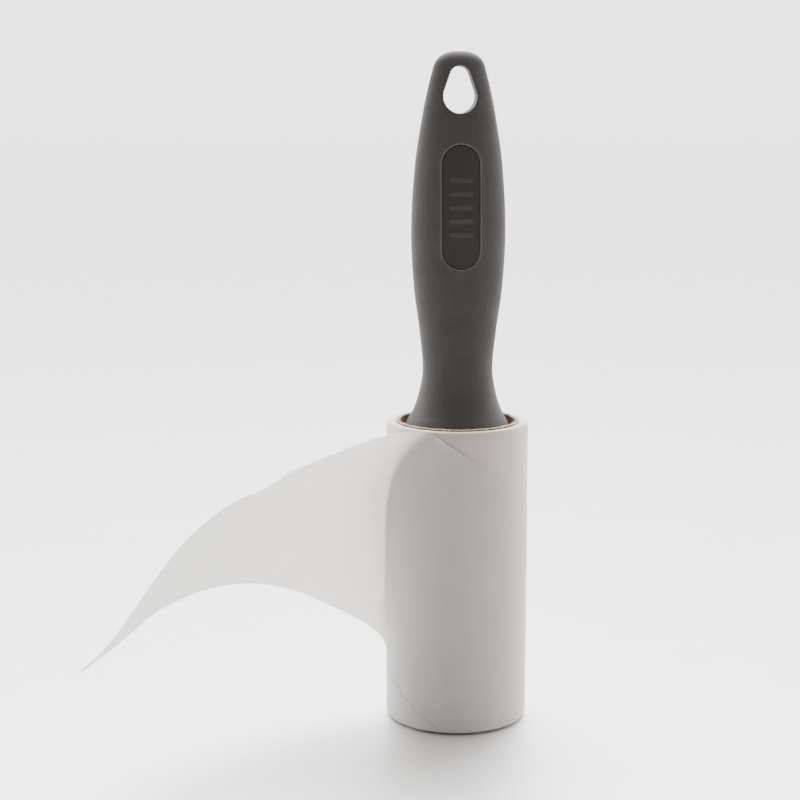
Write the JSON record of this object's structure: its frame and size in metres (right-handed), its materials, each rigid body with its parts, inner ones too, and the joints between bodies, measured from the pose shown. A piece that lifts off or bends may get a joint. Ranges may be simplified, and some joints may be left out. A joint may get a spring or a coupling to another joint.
{
  "type": "lint roller",
  "caption": "Hand-held lint roller: contoured handle with hang hole, free-turning arbor and a pull-off refill of spiral-cut adhesive paper sheets, the top one partly peeled.",
  "frame": {"origin": "on the turning axis, at the end of the refill that the roller stands on", "axes": "+Z along the turning axis towards the hang hole, -Y out of the badge on the handle's front, +X to the right seen from the front"},
  "size_m": [0.1421, 0.0985, 0.2242],
  "materials": {
    "handle": "satin moulded",
    "badge": "satin moulded",
    "nylon": "natural moulded",
    "end_cap": "satin moulded",
    "steel": "zinc plated",
    "kraft": "raw kraft board",
    "sheet_edges": "wound paper edges",
    "adhesive_sheet": "coated paper with adhesive"
  },
  "bodies": {
    "refill": {"core_inner_ply": "kraft", "core_outer_ply": "kraft", "sheet_stack": "sheet_edges", "next_sheet": "adhesive_sheet", "top_sheet": "adhesive_sheet", "sheet_fold": "adhesive_sheet"},
    "arbor": {"arbor_cage": "nylon", "arbor_end_cap": "end_cap"},
    "handle": {"handle_front_shell": "handle", "handle_rear_shell": "handle", "badge_plate": "badge", "spindle": "nylon", "thrust_washer": "nylon", "retaining_washer": "steel", "retaining_screw": "steel"},
    "flap": {"sheet_flap": "adhesive_sheet"}
  },
  "joints": [
    {"name": "arbor_spin", "type": "hinge", "parent": "arbor", "child": "handle", "pos_m": [0, 0, 0.05], "axis": [0, 0, 1], "continuous": true},
    {"name": "refill_slide", "type": "slide", "parent": "refill", "child": "arbor", "axis": [0, 0, 1], "range_m": [0, 0.108]},
    {"name": "sheet_lift", "type": "hinge", "parent": "refill", "child": "flap", "pos_m": [-0.0389, -0.00825, 0.0704], "axis": [0.3267, -0.3797, 0.8655], "range_deg": [-30, 30], "stiffness_Nm_per_rad": 0.004}
  ]
}
